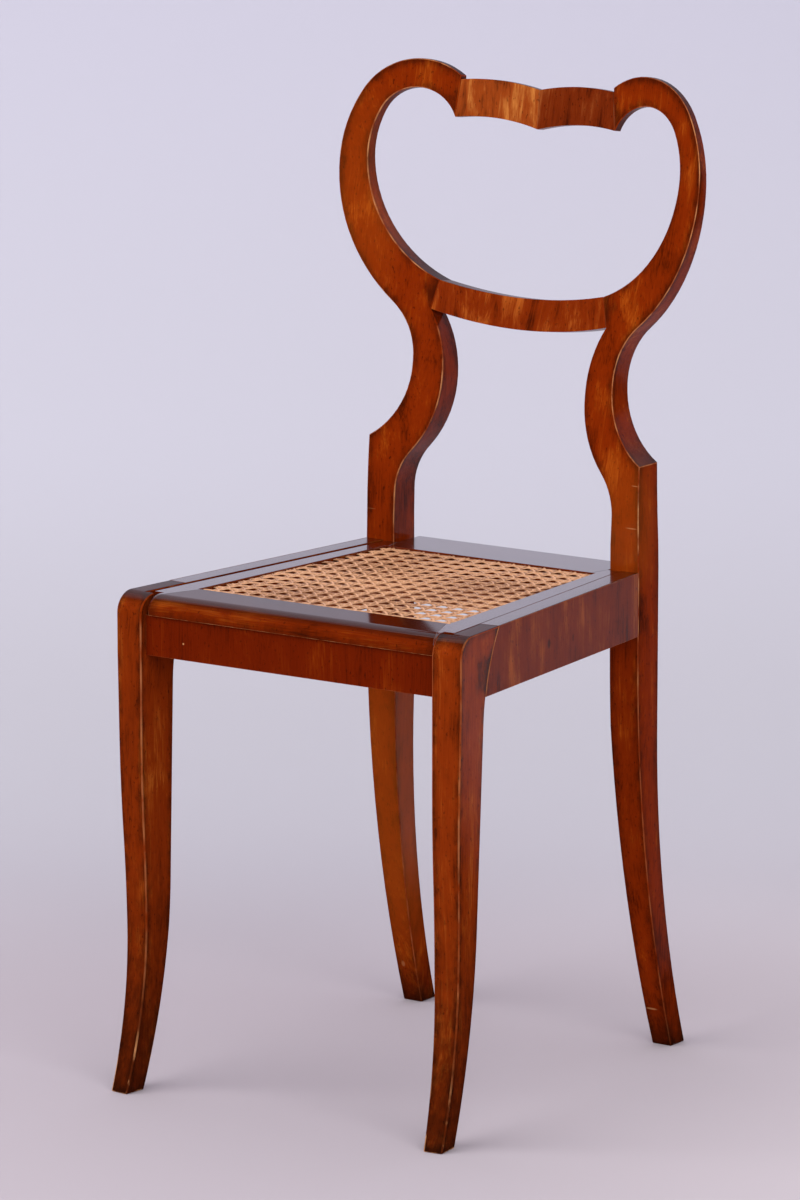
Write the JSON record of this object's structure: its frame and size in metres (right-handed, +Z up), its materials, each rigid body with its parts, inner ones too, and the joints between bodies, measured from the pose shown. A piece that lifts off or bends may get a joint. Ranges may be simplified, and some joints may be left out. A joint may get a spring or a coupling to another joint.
{
  "type": "dining chair",
  "caption": "Balloon-back wooden dining chair with sabre legs, a hollowed leaning back and a caned seat frame that lifts out of its rails.",
  "frame": {"origin": "on the floor, in the middle of the box that the chair fills", "axes": "+Z up; the chair faces -Y; X = 0 is the chair's middle plane"},
  "size_m": [0.3938, 0.4442, 0.8999],
  "materials": {
    "solid_walnut": "French-polished solid walnut, worn at its arrises",
    "cross_grained_veneer": "French-polished walnut veneer with upright grain",
    "secondary_wood": "plain unpolished softwood inside the seat frame",
    "rattan_cane": "split rattan cane, woven six ways, aged to honey colour"
  },
  "bodies": {
    "chair_frame": {"rear_post_left": "solid_walnut", "rear_post_right": "solid_walnut", "crest_rail": "solid_walnut", "crest_veneer_left": "cross_grained_veneer", "crest_veneer_right": "cross_grained_veneer", "crest_dowels": "secondary_wood", "stay_rail": "solid_walnut", "stay_veneer": "cross_grained_veneer", "front_leg_left": "solid_walnut", "front_leg_right": "solid_walnut", "side_rail_left": "solid_walnut", "side_rail_right": "solid_walnut", "side_rail_veneer_left": "cross_grained_veneer", "side_rail_veneer_right": "cross_grained_veneer", "front_rail": "solid_walnut", "front_rail_veneer": "cross_grained_veneer", "back_rail": "secondary_wood", "front_corner_block_left": "secondary_wood", "front_corner_block_right": "secondary_wood", "rear_corner_block_left": "secondary_wood", "rear_corner_block_right": "secondary_wood"},
    "seat": {"seat_frame_front": "solid_walnut", "seat_frame_back": "solid_walnut", "seat_frame_left": "solid_walnut", "seat_frame_right": "solid_walnut", "cane_panel": "rattan_cane"}
  },
  "joints": [
    {"name": "seat_lift", "type": "slide", "parent": "chair_frame", "child": "seat", "axis": [0, 0, 1], "range_m": [0, 0.04]}
  ]
}
